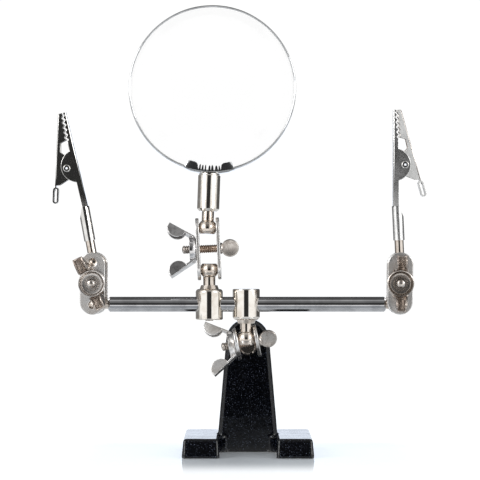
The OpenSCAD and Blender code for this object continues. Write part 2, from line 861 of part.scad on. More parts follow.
// A round wire swept along a path that bends in the XZ plane
module wire(path, r) {
    sides = 8;
    last = len(path) - 1;
    points = [
        for (i = [0 : last])
            let (
                t = unit(path[min(i + 1, last)] - path[max(i - 1, 0)]),
                n = unit(cross([0, 1, 0], t)),
                b = cross(t, n)
            )
            for (k = [0 : sides - 1])
                path[i] + r * (cos(360 * k / sides) * n + sin(360 * k / sides) * b)
    ];
    faces = concat(
        [[for (k = [0 : sides - 1]) k]],
        [for (i = [0 : last - 1], k = [0 : sides - 1])
            let (k2 = (k + 1) % sides)
            [i * sides + k, (i + 1) * sides + k, (i + 1) * sides + k2, i * sides + k2]],
        [[for (k = [sides - 1 : -1 : 0]) last * sides + k]]
    );
    polyhedron(points, faces);
}

module spring() {
    color(dull_nickel) in_jaws() wire(spring_path, wire_d / 2);
}

module left_clip_ball_stud() {
    in_left_clip() clip_ball_stud();
}

module left_clip_fixed_jaw() {
    in_left_clip() fixed_jaw();
}

module left_clip_moving_jaw() {
    in_left_clip() moving_jaw();
}

module left_clip_rivet() {
    in_left_clip() rivet();
}

module left_clip_spring() {
    in_left_clip() spring();
}

module right_clip_ball_stud() {
    in_right_clip() clip_ball_stud();
}

module right_clip_fixed_jaw() {
    in_right_clip() fixed_jaw();
}

module right_clip_moving_jaw() {
    in_right_clip() moving_jaw();
}

module right_clip_rivet() {
    in_right_clip() rivet();
}

module right_clip_spring() {
    in_right_clip() spring();
}

// ---------------------------------------------------------------- magnifier

band_r = band_d / 2;
ring_z = ferrule_z + ferrule_l + saddle_t + band_r;
lens_r = band_r - band_t - 0.05;

module lens_ferrule() {
    top_step = 0.35;
    color(nickel) in_magnifier() translate([0, 0, ferrule_z])
        difference() {
            rotate_extrude()
                polygon([
                    [0, 0], [ferrule_d / 2 - ferrule_chamfer, 0],
                    [ferrule_d / 2, ferrule_chamfer], [ferrule_d / 2, ferrule_l - 0.8],
                    [ferrule_d / 2 - top_step, ferrule_l - 0.5],
                    [ferrule_d / 2 - top_step, ferrule_l - 0.05], [0, ferrule_l - 0.05]
                ]);
            translate([0, 0, -1])
                cylinder(d = shank_d + 2 * turn_clear, h = ferrule_shank_l + 1.5);
        }
}

// The saddle: a channel that follows the outside of the band; its walls stand up as a high lug at
// each end, with a low crimped stretch between them
module lens_saddle() {
    half_angle = saddle_l / 2 / band_r * 180 / PI;
    crimp_angle = half_angle * saddle_crimp;
    crimp_h = saddle_h * 0.8;
    floor_out = band_r + saddle_t;
    wall_in = band_w / 2 + 0.05;
    wall_out = wall_in + saddle_t;
    top_r = band_r - saddle_h;
    color(chrome) in_magnifier() translate([0, 0, ring_z]) rotate([90, 0, 0])
        difference() {
            rotate([0, 0, -90 - half_angle]) rotate_extrude(angle = 2 * half_angle, $fn = 180)
                polygon([
                    [top_r, -wall_out], [floor_out, -wall_out], [floor_out, wall_out],
                    [top_r, wall_out], [top_r, wall_in], [band_r + 0.05, wall_in],
                    [band_r + 0.05, -wall_in], [top_r, -wall_in]
                ]);
            rotate([0, 0, -90 - crimp_angle]) rotate_extrude(angle = 2 * crimp_angle, $fn = 180)
                translate([top_r - 1, -wall_out - 1])
                    square([saddle_h - crimp_h + 1, 2 * wall_out + 2]);
        }
}

module lens_band() {
    half = band_w / 2;
    inner = band_r - band_t;
    lip = inner - band_lip;
    color(chrome) in_magnifier() translate([0, 0, ring_z]) rotate([90, 0, 0])
        rotate_extrude($fn = 180)
            polygon([
                [lip, -half], [band_r - 0.2, -half], [band_r, 0.2 - half], [band_r, half - 0.2],
                [band_r - 0.2, half], [lip, half], [lip, half - band_t],
                [inner, half - band_t], [inner, band_t - half], [lip, band_t - half]
            ]);
}

module lens_glass() {
    bulge = lens_face_r - sqrt(pow(lens_face_r, 2) - pow(lens_r, 2));
    centre_y = lens_face_r - bulge - lens_edge / 2;
    color(clear_glass) in_magnifier() translate([0, 0, ring_z])
        intersection() {
            rotate([90, 0, 0]) cylinder(r = lens_r, h = 4 * band_w, center = true, $fn = 180);
            translate([0, centre_y, 0]) rotate([90, 0, 0]) sphere(r = lens_face_r, $fn = 240);
            translate([0, -centre_y, 0]) rotate([90, 0, 0]) sphere(r = lens_face_r, $fn = 240);
        }
}

// ---------------------------------------------------------------- nodes

base_casting();
base_ball_stud();
base_link_left_plate();
base_link_right_plate();
base_link_thumb_screw();
base_link_wing_nut();
base_collar();
base_collar_ball_stud();
base_collar_set_screw();
cross_bar();
left_bar_ball_stud();
right_bar_ball_stud();
left_link_front_plate();
left_link_rear_plate();
left_link_thumb_screw();
left_link_wing_nut();
left_clip_ball_stud();
left_clip_fixed_jaw();
left_clip_moving_jaw();
left_clip_rivet();
left_clip_spring();
right_link_front_plate();
right_link_rear_plate();
right_link_thumb_screw();
right_link_wing_nut();
right_clip_ball_stud();
right_clip_fixed_jaw();
right_clip_moving_jaw();
right_clip_rivet();
right_clip_spring();
lens_collar();
lens_collar_ball_stud();
lens_collar_set_screw();
lens_link_left_plate();
lens_link_right_plate();
lens_link_thumb_screw();
lens_link_wing_nut();
lens_ball_stud();
lens_ferrule();
lens_saddle();
lens_band();
lens_glass();
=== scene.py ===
# %% [markdown]
# # Dressing a helping hands clamp
# The object is a small bench stand for soldering: a cast foot, four ball-jointed links that are
# clamped by thumb screws and wing nuts, a cross bar, two alligator clips and a magnifier.
# Its solids arrive as a fixed frame. One way would be to model every part again here; the way
# chosen keeps each solid whose shape is right, softens its edges and gives it a finish, and
# models again only what a plain solid can't show: threads, coils, cast skin, rims and glass.

# %% Load the frame
import json
import math

import bmesh
import bpy
from mathutils import Matrix, Vector, noise

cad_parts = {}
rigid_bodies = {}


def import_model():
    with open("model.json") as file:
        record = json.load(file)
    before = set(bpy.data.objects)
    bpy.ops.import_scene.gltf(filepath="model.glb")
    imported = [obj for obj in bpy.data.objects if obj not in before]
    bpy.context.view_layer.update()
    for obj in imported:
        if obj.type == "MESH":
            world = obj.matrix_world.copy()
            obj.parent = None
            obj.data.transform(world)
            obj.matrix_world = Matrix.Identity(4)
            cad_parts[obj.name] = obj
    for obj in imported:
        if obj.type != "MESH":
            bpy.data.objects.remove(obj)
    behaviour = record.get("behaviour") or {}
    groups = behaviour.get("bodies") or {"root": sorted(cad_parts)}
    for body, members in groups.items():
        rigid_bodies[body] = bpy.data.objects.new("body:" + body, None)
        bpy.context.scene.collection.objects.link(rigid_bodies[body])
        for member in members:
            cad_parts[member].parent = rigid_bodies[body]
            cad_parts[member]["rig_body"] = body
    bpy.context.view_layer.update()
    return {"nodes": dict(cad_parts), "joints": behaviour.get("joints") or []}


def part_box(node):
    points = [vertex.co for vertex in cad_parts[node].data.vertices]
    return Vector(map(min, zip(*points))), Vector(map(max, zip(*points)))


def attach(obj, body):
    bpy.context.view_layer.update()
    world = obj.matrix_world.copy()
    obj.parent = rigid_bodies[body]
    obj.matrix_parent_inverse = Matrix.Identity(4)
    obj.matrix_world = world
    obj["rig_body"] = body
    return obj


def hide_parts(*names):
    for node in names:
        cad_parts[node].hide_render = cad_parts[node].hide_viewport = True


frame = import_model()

joints = {j["name"]: j for j in frame["joints"]}
nodes = frame["nodes"]
mm = 0.001

# %% [markdown]
# Every object is put into the scene by one small helper. The camera comes first, because every
# later look is judged through it. It stands a metre in front of the cross bar, at the height of
# the magnifier's ferrule, and looks level along +Y. A long lens from that far keeps the upright
# straight and the balls round.


# %% Camera
def put(name, data):
    """An object with this data, linked into the scene."""
    made = bpy.data.objects.new(name, data)
    bpy.context.scene.collection.objects.link(made)
    return made


sensor, view_angle = 36.0, math.radians(10.55)
camera_data = bpy.data.cameras.new("bench_camera")
camera_data.sensor_width = sensor
camera_data.lens = sensor / (2 * math.tan(view_angle / 2))
camera_data.clip_start = 0.01
camera = put("bench_camera", camera_data)
camera.location = (-3.05 * mm, -1019 * mm, 83.4 * mm)
camera.rotation_euler = (math.pi / 2, 0, 0)
bpy.context.scene.camera = camera
bpy.context.scene.view_settings.view_transform = "Standard"
print("lens", round(camera_data.lens, 1), "mm")

# %% [markdown]
# The studio and every finish are trees of nodes. A few helpers keep them short: a node with its
# settings, a step of arithmetic, a mix of two colours, and a value turned smoothly into another
# range, which is how a patch of light or dirt gets its soft edge.

# %% Small helpers for node trees
def add(tree, kind, settings=None, **inputs):
    """A node of a tree, with its settings and its unlinked input values."""
    made = tree.nodes.new(kind)
    for key, value in (settings or {}).items():
        setattr(made, key, value)
    for key, value in inputs.items():
        made.inputs[key.replace("_", " ")].default_value = value
    return made


def feed(tree, made, *sources):
    """Links sources to a node's first inputs, in their order, and returns its output, if any."""
    for slot, source in enumerate(sources):
        tree.links.new(source, made.inputs[slot])
    return made.outputs[0] if made.outputs else None


def sum_up(tree, operation, *terms):
    """One step of arithmetic on sockets and numbers."""
    step = add(tree, "ShaderNodeMath", {"operation": operation})
    for slot, value in enumerate(terms):
        if isinstance(value, (int, float)):
            step.inputs[slot].default_value = value
        else:
            tree.links.new(value, step.inputs[slot])
    return step.outputs[0]


def ease(tree, value, low, high, out_low=0.0, out_high=1.0, way="SMOOTHSTEP"):
    """value from low to high, turned into out_low to out_high, smoothly or another way."""
    made = add(tree, "ShaderNodeMapRange", {"interpolation_type": way})
    for name, number in (("From Min", low), ("From Max", high), ("To Min", out_low), ("To Max", out_high)):
        made.inputs[name].default_value = number
    tree.links.new(value, made.inputs["Value"])
    return made.outputs["Result"]


def mix(tree, share, one, other):
    """A colour between one, which may be a socket, and other. A Mix node has them at 6 and 7."""
    made = add(tree, "ShaderNodeMix", {"data_type": "RGBA"})
    tree.links.new(share, made.inputs[0])
    if isinstance(one, tuple):
        made.inputs[6].default_value = (*one, 1.0)
    else:
        tree.links.new(one, made.inputs[6])
    made.inputs[7].default_value = (*other, 1.0)
    return made.outputs[2]


def new_finish(name):
    """A material, its tree and its shader."""
    made = bpy.data.materials.new(name)
    made.use_nodes = True
    return made, made.node_tree, made.node_tree.nodes["Principled BSDF"]


# %% [markdown]
# Bright metal shows the room more than itself. Two tall white boxes at the sides with a dark gap
# between them give each round part one dark stripe down its middle. The gap runs on over the
# top, which darkens the upper half of a bar that lies level. Cards and lamps could make that
# room, but they would stand in the way when the camera walks round; a world that depends on the
# direction alone doesn't.

# %% The studio's boxes and gaps
world = bpy.data.worlds.new("white_studio")
bpy.context.scene.world = world
world.use_nodes = True
room = world.node_tree
room.nodes.clear()
direction = add(room, "ShaderNodeSeparateXYZ")
feed(room, direction, add(room, "ShaderNodeTexCoord").outputs["Generated"])
side, away, up = direction.outputs
aside = sum_up(room, "ABSOLUTE", side)
gap = ease(room, aside, 0.28, 0.40, 1.0, 0.0)
gap = sum_up(room, "MULTIPLY", gap, ease(room, up, -0.20, -0.12))
gap = sum_up(room, "MULTIPLY", gap, ease(room, away, 0.90, 0.97, 1.0, 0.0))
corner = sum_up(room, "MULTIPLY", ease(room, away, -0.2, 0.28), ease(room, away, 0.955, 0.985, 1.0, 0.0))
corner = sum_up(room, "MULTIPLY", corner, ease(room, side, -0.3, 0.3, 0.80, 0.93))
dark = sum_up(room, "MAXIMUM", gap, corner)
brightness = sum_up(room, "MULTIPLY_ADD", dark, -1.12, 1.15)
above = ease(room, up, 0.05, 0.75, 0.02, 0.34)
above = sum_up(room, "MULTIPLY", above, ease(room, away, -0.42, -0.15, 1.0, 0.4))
strip = sum_up(room, "MULTIPLY", ease(room, away, -0.56, -0.47), ease(room, away, -0.40, -0.30, 1.0, 0.0))
strip = sum_up(room, "MULTIPLY", strip, ease(room, up, 0.5, 0.8, 0.0, 0.45))
brightness = sum_up(room, "MAXIMUM", brightness, sum_up(room, "ADD", above, strip))
print("room nodes", len(room.nodes))

# %% [markdown]
# Three kinds of ray ask for the world. Mirrored rays get the boxes and gaps, a little bluer
# straight behind the stand. Rays that light matt faces get an even soft white, so the gaps cost
# no light. The camera, and light that has come through the glass, see plain white.

# %% What each kind of ray sees
mirrored = add(room, "ShaderNodeBackground")
cool = mix(room, ease(room, away, 0.975, 0.99), (1.0, 1.0, 1.0), (0.97, 1.05, 1.19))
room.links.new(cool, mirrored.inputs["Color"])
room.links.new(brightness, mirrored.inputs["Strength"])
soft = add(room, "ShaderNodeBackground", Color=(1.0, 1.0, 1.0, 1.0), Strength=0.55)
white = add(room, "ShaderNodeBackground", Color=(1.0, 1.0, 1.0, 1.0), Strength=1.04)
path = add(room, "ShaderNodeLightPath")
seen = sum_up(room, "MAXIMUM", path.outputs["Is Camera Ray"], path.outputs["Is Transmission Ray"])
lit = feed(room, add(room, "ShaderNodeMixShader"), path.outputs["Is Glossy Ray"], soft.outputs[0],
           mirrored.outputs[0])
lit = feed(room, add(room, "ShaderNodeMixShader"), seen, lit, white.outputs[0])
feed(room, add(room, "ShaderNodeOutputWorld"), lit)
print("studio nodes", len(room.nodes))

# %% [markdown]
# The world alone gives hardly any shadow. Three square lamps, one at each side of the camera and
# one behind and above, give the feet a soft one and put a light on the edges. Small hard lamps
# would show as hot dots on every ball.


# %% Lamps
def lamp(name, place, size, power):
    """A square soft lamp that faces the middle of the stand."""
    data = bpy.data.lights.new(name, "AREA")
    data.size = size
    data.energy = power
    made = put(name, data)
    made.location = place
    made.rotation_euler = (lit_middle - Vector(place)).to_track_quat("-Z", "Y").to_euler()
    made.visible_camera = made.visible_transmission = False
    return made


lit_middle = Vector((0, -0.02, 0.08))
lamp("left_box", (-0.75, -0.65, 0.45), 0.45, 4.0)
lamp("right_box", (0.8, -0.6, 0.4), 0.45, 3.2)
lamp("back_box", (0.1, 0.7, 0.9), 0.5, 3.0).visible_glossy = False

# %% [markdown]
# The floor is a sheet of glossy white board, a wide disc that is cut off straight in front of
# the stand, so that the black upright doesn't mirror it.

# %% The sheet of the floor
floor_mesh = bpy.data.meshes.new("floor")
floor_r, front_edge = 420 * mm, -140 * mm
turns = [math.radians(a) for a in range(0, 360, 5)]
rim = [(floor_r * math.cos(a), max(floor_r * math.sin(a), front_edge), 0) for a in turns]
floor_mesh.from_pydata(rim, [], [tuple(range(len(rim)))])
floor = put("floor", floor_mesh)
floor.location = (0, 0, -0.02 * mm)
print("floor", tuple(floor.dimensions))

# %% [markdown]
# Lit plainly the board would come out grey, so what the camera and the metal see of it gets a
# glow of its own, which adds no light to the object. Close to the feet the glow fades and the
# gloss grows, and the shadow and the reflection of the feet stay.

# %% White board with a glow of its own
board, tree = new_finish("white_board")[:2]
tree.nodes.clear()
matt = add(tree, "ShaderNodeBsdfDiffuse", Color=(0.42, 0.45, 0.48, 1))
shine = add(tree, "ShaderNodeBsdfGlossy", Roughness=0.07)
glow = add(tree, "ShaderNodeEmission", Color=(1.0, 1.0, 1.0, 1))
spot = add(tree, "ShaderNodeSeparateXYZ")
feed(tree, spot, add(tree, "ShaderNodeTexCoord").outputs["Object"])
right, back = spot.outputs[:2]
near = ease(tree, back, -0.105, -0.029)
near = sum_up(tree, "MULTIPLY", near, ease(tree, back, 0.03, 0.08, 1.0, 0.0))
beside = sum_up(tree, "ABSOLUTE", right)
near = sum_up(tree, "MULTIPLY", near, ease(tree, beside, 0.052, 0.085, 1.0, 0.0))
grey = ease(tree, near, 0.0, 1.0, 0.10, 0.52)
tree.links.new(feed(tree, add(tree, "ShaderNodeCombineColor"), grey, grey, grey), shine.inputs["Color"])
path = add(tree, "ShaderNodeLightPath")
seen = sum_up(tree, "MAXIMUM", path.outputs["Is Camera Ray"], path.outputs["Is Transmission Ray"])
seen = sum_up(tree, "MULTIPLY", seen, ease(tree, near, 0.0, 1.0, 0.62, 0.02))
mirrored = ease(tree, back, -0.04, -0.02, 0.04, 0.30)
mirrored = sum_up(tree, "MULTIPLY", path.outputs["Is Glossy Ray"], mirrored)
seen = sum_up(tree, "MAXIMUM", seen, mirrored)
tree.links.new(seen, glow.inputs["Strength"])
both = feed(tree, add(tree, "ShaderNodeAddShader"), matt.outputs[0], shine.outputs[0])
all_three = feed(tree, add(tree, "ShaderNodeAddShader"), both, glow.outputs[0])
feed(tree, add(tree, "ShaderNodeOutputMaterial"), all_three)
floor_mesh.materials.append(board)
print("board nodes", len(tree.nodes))

# %% [markdown]
# Plated steel is never one even colour: the plating clouds over in patches, handling leaves
# hair scratches, and the worn spots turn smoother or duller. A flat colour with one roughness
# looks like plastic. One recipe with a few numbers serves every plated part: cloudy patches mix
# two colours and two roughnesses, and a fine grain and scratches become bump.

# %% A recipe for plated metal
def plated(name, bright, dull, smooth, rough, patch=260.0, grain=0.35, scratch=0.25):
    """Metal whose patches go from bright and smooth to dull and rough."""
    made, tree, shader = new_finish(name)
    shader.inputs["Metallic"].default_value = 1.0
    where = add(tree, "ShaderNodeTexCoord").outputs["Object"]
    clouds = add(tree, "ShaderNodeTexNoise", Scale=patch, Detail=5.0, Roughness=0.6, Distortion=0.4)
    fine = add(tree, "ShaderNodeTexNoise", Scale=5200.0, Detail=3.0, Roughness=0.6)
    stretch = add(tree, "ShaderNodeMapping", Rotation=(0.3, 0.5, 0.7), Scale=(2600.0, 260.0, 700.0))
    hair = add(tree, "ShaderNodeTexNoise", Scale=1.0, Detail=4.0, Roughness=0.75)
    for texture in (clouds, fine):
        tree.links.new(where, texture.inputs["Vector"])
    tree.links.new(where, stretch.inputs["Vector"])
    tree.links.new(stretch.outputs[0], hair.inputs["Vector"])
    worn = ease(tree, clouds.outputs["Fac"], 0.35, 0.7)
    tree.links.new(mix(tree, worn, bright, dull), shader.inputs["Base Color"])
    mixed = sum_up(tree, "MULTIPLY_ADD", hair.outputs["Fac"], 0.35, sum_up(tree, "MULTIPLY", worn, 0.65))
    level = ease(tree, mixed, 0.0, 1.0, smooth, rough, way="LINEAR")
    tree.links.new(level, shader.inputs["Roughness"])
    relief = sum_up(tree, "MULTIPLY", fine.outputs["Fac"], grain)
    relief = sum_up(tree, "ADD", relief, sum_up(tree, "MULTIPLY", hair.outputs["Fac"], scratch))
    bump = add(tree, "ShaderNodeBump", Strength=0.35, Distance=0.00002)
    tree.links.new(relief, bump.inputs["Height"])
    tree.links.new(bump.outputs[0], shader.inputs["Normal"])
    return made


warm_nickel = plated("warm_nickel", (0.84, 0.81, 0.76), (0.66, 0.60, 0.53), 0.03, 0.12)
stud_nickel = plated("stud_nickel", (0.71, 0.65, 0.59), (0.47, 0.40, 0.34), 0.05, 0.16)
satin_nickel = plated("satin_nickel", (0.95, 0.94, 0.93), (0.52, 0.49, 0.46), 0.24, 0.42, patch=170.0)
stamped_nickel = plated("stamped_nickel", (0.60, 0.56, 0.52), (0.36, 0.32, 0.29), 0.16, 0.34, patch=500.0)
fresh_nickel = plated("fresh_nickel", (0.78, 0.77, 0.77), (0.42, 0.41, 0.41), 0.07, 0.17,
                      patch=480.0, grain=0.15)
hub_nickel = plated("hub_nickel", (0.78, 0.75, 0.72), (0.42, 0.39, 0.37), 0.20, 0.36, patch=420.0)
# Painted shade: a darker, browner finish for the wings of two wing nuts.
shaded_wing_nickel = plated("shaded_wing_nickel", (0.56, 0.50, 0.45), (0.30, 0.25, 0.22), 0.14, 0.26,
                    patch=240.0, grain=0.1, scratch=0.1)
copper_thread = plated("copper_thread", (0.55, 0.44, 0.36), (0.36, 0.27, 0.21), 0.20, 0.38, patch=600.0)
bright_sheet = plated("bright_sheet", (0.80, 0.79, 0.77), (0.60, 0.59, 0.57), 0.06, 0.17, patch=300.0)
bar_chrome = plated("bar_chrome", (0.54, 0.54, 0.55), (0.40, 0.40, 0.41), 0.04, 0.10, patch=160.0)
clouded_sheet = plated("clouded_sheet", (0.82, 0.82, 0.81), (0.60, 0.60, 0.60), 0.20, 0.32, patch=300.0)
frosted_sheet = plated("frosted_sheet", (0.96, 0.96, 0.95), (0.76, 0.76, 0.75), 0.36, 0.52, patch=300.0)
ring_chrome = plated("ring_chrome", (0.66, 0.67, 0.68), (0.50, 0.51, 0.52), 0.08, 0.16, patch=200.0)
wire_steel = plated("wire_steel", (0.60, 0.60, 0.60), (0.42, 0.42, 0.42), 0.15, 0.30, patch=900.0)
print("plated finishes", len([m for m in bpy.data.materials if m.use_nodes]))

# %% [markdown]
# The stand is cast iron under thick black gloss paint. The sand mould leaves a pebbled skin, so
# the gloss breaks up into small bright specks. The paint could be one black with a rough shine,
# which would look like rubber; here the shine stays sharp, and the specks are painted glints, a
# lighter colour on the tops of the pebbles, with a little bump for the finest grit.

# %% Black paint over the cast skin, with painted glints
cast_paint, tree, shader = new_finish("cast_paint")
where = add(tree, "ShaderNodeTexCoord").outputs["Object"]
pebbles = add(tree, "ShaderNodeTexNoise", Scale=1100.0, Detail=3.0, Roughness=0.6, Distortion=0.3)
glints = add(tree, "ShaderNodeTexNoise", Scale=2300.0, Detail=2.0, Roughness=0.7)
smears = add(tree, "ShaderNodeTexNoise", Scale=190.0, Detail=3.0, Roughness=0.55)
for texture in (pebbles, glints, smears):
    tree.links.new(where, texture.inputs["Vector"])
coat = ease(tree, pebbles.outputs["Fac"], 0.45, 0.75)
coat = mix(tree, coat, (0.0003, 0.0005, 0.0014), (0.0015, 0.0022, 0.0048))
# Painted glints: the colour turns lighter where the fine grain peaks on the tops of the pebbles, standing in
# for light that catches the skin.
painted_glint = ease(tree, glints.outputs["Fac"], 0.58, 0.72)
painted_glint = sum_up(tree, "MULTIPLY", painted_glint, ease(tree, pebbles.outputs["Fac"], 0.40, 0.54))
tree.links.new(mix(tree, painted_glint, coat, (0.13, 0.15, 0.20)), shader.inputs["Base Color"])
tree.links.new(ease(tree, smears.outputs["Fac"], 0.3, 0.7, 0.07, 0.16), shader.inputs["Roughness"])
shader.inputs["Specular IOR Level"].default_value = 0.36
bump = add(tree, "ShaderNodeBump", Strength=0.20, Distance=0.00010)
grit = sum_up(tree, "ADD", pebbles.outputs["Fac"], sum_up(tree, "MULTIPLY", glints.outputs["Fac"], 0.6))
tree.links.new(grit, bump.inputs["Height"])
tree.links.new(bump.outputs[0], shader.inputs["Normal"])
print("paint nodes", len(tree.nodes))

# %% [markdown]
# Some pieces are modelled here from plain lists of points and faces, because a formula can wind a
# thread or a coil where the modelling tools can't. One helper makes an object that rides on its
# body, and two write the points and faces of anything round.


# %% A piece from points and faces
def piece(name, points, faces, body, finish):
    """A mesh in metres that rides on a body and wears one finish."""
    mesh = bpy.data.meshes.new(name)
    mesh.from_pydata([tuple(p) for p in points], [], faces)
    mesh.validate()
    mesh.materials.append(finish)
    mesh.shade_smooth()
    made = put(name, mesh)
    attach(made, body)
    return made


def round_z(radius, turn, height):
    """The point at this radius, turn and height round the Z axis."""
    return Vector((radius * math.cos(turn), radius * math.sin(turn), height))


def tube_faces(rings, steps):
    """Faces that join rings of points, one after the other, and close both ends."""
    faces = []
    for i in range(rings - 1):
        for k in range(steps):
            nxt = (k + 1) % steps
            faces.append((i * steps + k, i * steps + nxt, (i + 1) * steps + nxt, (i + 1) * steps + k))
    faces.append(tuple(reversed(range(steps))))
    faces.append(tuple((rings - 1) * steps + k for k in range(steps)))
    return faces

# %% [markdown]
# Other pieces start from a solid of the frame. They need a free copy, so that the solid itself
# stays as it came, and at times the modifiers' result as a plain mesh to work on. A third helper
# draws the flat plates that folded sheet is built from.


# %% Meshes of their own
def apply_modifiers(obj):
    """Turns what the modifiers make into the object's own mesh."""
    graph = bpy.context.evaluated_depsgraph_get()
    done = bpy.data.meshes.new_from_object(obj.evaluated_get(graph))
    obj.modifiers.clear()
    obj.data = done


def copy_of(node, name):
    """A free copy of a solid's mesh, with its doubled corner points joined."""
    mesh = nodes[node].data.copy()
    mesh.name = name
    work = bmesh.new()
    work.from_mesh(mesh)
    bmesh.ops.remove_doubles(work, verts=work.verts, dist=0.2e-6)
    work.to_mesh(mesh)
    work.free()
    for layer in ("custom_normal", "sharp_edge", "sharp_face"):
        if layer in mesh.attributes:
            mesh.attributes.remove(mesh.attributes[layer])
    return put(name, mesh)


def plate(work, outline, level, thick):
    """Adds a flat plate with this outline to a mesh, from a level in Z to so much above it."""
    face = work.faces.new([work.verts.new((x, y, level)) for x, y in outline])
    pushed = bmesh.ops.extrude_face_region(work, geom=[face])
    for vert in (g for g in pushed["geom"] if isinstance(g, bmesh.types.BMVert)):
        vert.co.z += thick


# %% [markdown]
# The casting itself has soft corners and a slightly uneven skin. A bump map alone would leave its
# outline knife sharp, so the solid is copied, remeshed into small even faces, smoothed, and its
# skin is pushed in and out by noise. A long slow noise makes the swell of the casting and two
# short ones its pebbles, and every point stays inside the solid's own box.

# %% Stand
stand = copy_of("base_casting", "cast_stand")
even = stand.modifiers.new("even_faces", "REMESH")
even.mode = "VOXEL"
even.voxel_size = 0.36 * mm
relax = stand.modifiers.new("relax", "SMOOTH")
relax.iterations = 6
relax.factor = 0.5
apply_modifiers(stand)
stand.data.materials.clear()
stand.data.materials.append(cast_paint)
stand_low, stand_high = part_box("base_casting")
swell_depth, pebble_depth, drawn_in = 0.03 * mm, 0.011 * mm, 0.04 * mm
work = bmesh.new()
work.from_mesh(stand.data)
work.normal_update()
for vert in work.verts:
    spot = vert.co * 900
    skin = noise.noise(spot) + 0.6 * noise.noise(spot * 2.3)
    swell = swell_depth * noise.noise(vert.co * 160) + pebble_depth * skin - drawn_in
    vert.co += vert.normal * swell
    for axis in range(3):
        vert.co[axis] = min(max(vert.co[axis], stand_low[axis]), stand_high[axis])
work.to_mesh(stand.data)
work.free()
stand.data.shade_smooth()
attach(stand, "base")
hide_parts("base_casting")
print("stand faces", len(stand.data.polygons))

# %% [markdown]
# The collars, studs and rivets are turned, and their solids already have the right shape, but
# each solid's corner points come apart and its round walls show facets. A little node setup
# joins the points and shades smoothly over everything but the real edges.

# %% Smooth faces between real edges
soft_faces = bpy.data.node_groups.new("soft_faces", "GeometryNodeTree")
soft_faces.interface.new_socket("Geometry", in_out="INPUT", socket_type="NodeSocketGeometry")
soft_faces.interface.new_socket("Geometry", in_out="OUTPUT", socket_type="NodeSocketGeometry")
joined = add(soft_faces, "GeometryNodeMergeByDistance", Distance=0.2e-6)
every = add(soft_faces, "GeometryNodeSetShadeSmooth", {"domain": "FACE"})
edges = add(soft_faces, "GeometryNodeSetShadeSmooth", {"domain": "EDGE"})
edges.inputs["Shade Smooth"].default_value = False
fold = add(soft_faces, "GeometryNodeInputMeshEdgeAngle")
sharp = add(soft_faces, "FunctionNodeCompare", {"operation": "GREATER_THAN"})
sharp.inputs[1].default_value = math.radians(24)
soft_faces.links.new(fold.outputs["Unsigned Angle"], sharp.inputs[0])
start = add(soft_faces, "NodeGroupInput").outputs[0]
for step in (joined, every, edges):
    soft_faces.links.new(start, step.inputs["Geometry" if "Geometry" in step.inputs else "Mesh"])
    start = step.outputs[0]
soft_faces.links.new(sharp.outputs[0], edges.inputs["Selection"])
soft_faces.links.new(start, add(soft_faces, "NodeGroupOutput").inputs[0])
print("soft face steps", len(soft_faces.nodes))

# %% [markdown]
# No real edge is perfectly sharp: the tool or the tumbling barrel leaves a tiny round that
# catches a line of light. A bevel of about a tenth of a millimetre makes that round.


# %% The solids that keep their shape
def dress(node, finish, edge):
    """Keeps a solid, rounds its edges by so many millimetres and gives it a finish."""
    solid = nodes[node]
    solid.modifiers.new("soft_faces", "NODES").node_group = soft_faces
    bevel = solid.modifiers.new("edge", "BEVEL")
    bevel.width = edge * mm
    bevel.segments = 2
    bevel.limit_method = "ANGLE"
    bevel.angle_limit = real_edge
    bevel.harden_normals = True
    bevel.miter_outer = "MITER_ARC"
    if not solid.material_slots:
        solid.data.materials.append(finish)
    for place in solid.material_slots:
        place.material = finish


real_edge = math.radians(28)
for name in nodes:
    if name.endswith("ball_stud"):
        dress(name, stud_nickel, 0.12)
    elif name.endswith(("collar", "ferrule")):
        dress(name, warm_nickel, 0.12)
    elif name.endswith("rivet"):
        dress(name, bright_sheet, 0.08)
    elif name.endswith("set_screw"):
        dress(name, stamped_nickel, 0.1)
dress("cross_bar", bar_chrome, 0.12)
print("dressed", sum(1 for o in nodes.values() if o.modifiers))

# %% [markdown]
# Stamped sheet has two kinds of edge. Where the press cut it, the edge is only a little rounded;
# where it was folded, the corner has the round of the tool. One bevel width can't be both, so
# these pieces are copies of the solids whose edges each get a width of their own, kept small
# beside short neighbours such as the teeth, and the bevel follows those widths.


# %% Stamped sheet with rounded cuts and folds
def keep_edges(obj, degrees):
    """Shades smoothly, but keeps the edges that fold by more than so many degrees."""
    work = bmesh.new()
    work.from_mesh(obj.data)
    bmesh.ops.recalc_face_normals(work, faces=work.faces)
    for edge in work.edges:
        edge.smooth = edge.calc_face_angle(0.0) < math.radians(degrees)
    work.to_mesh(obj.data)
    work.free()


def flat_shading(obj):
    """Lets the large faces set the shading, so that the rounds bend the light and the faces don't."""
    flat = obj.modifiers.new("flat_faces", "WEIGHTED_NORMAL")
    flat.keep_sharp = True
    flat.weight = 90


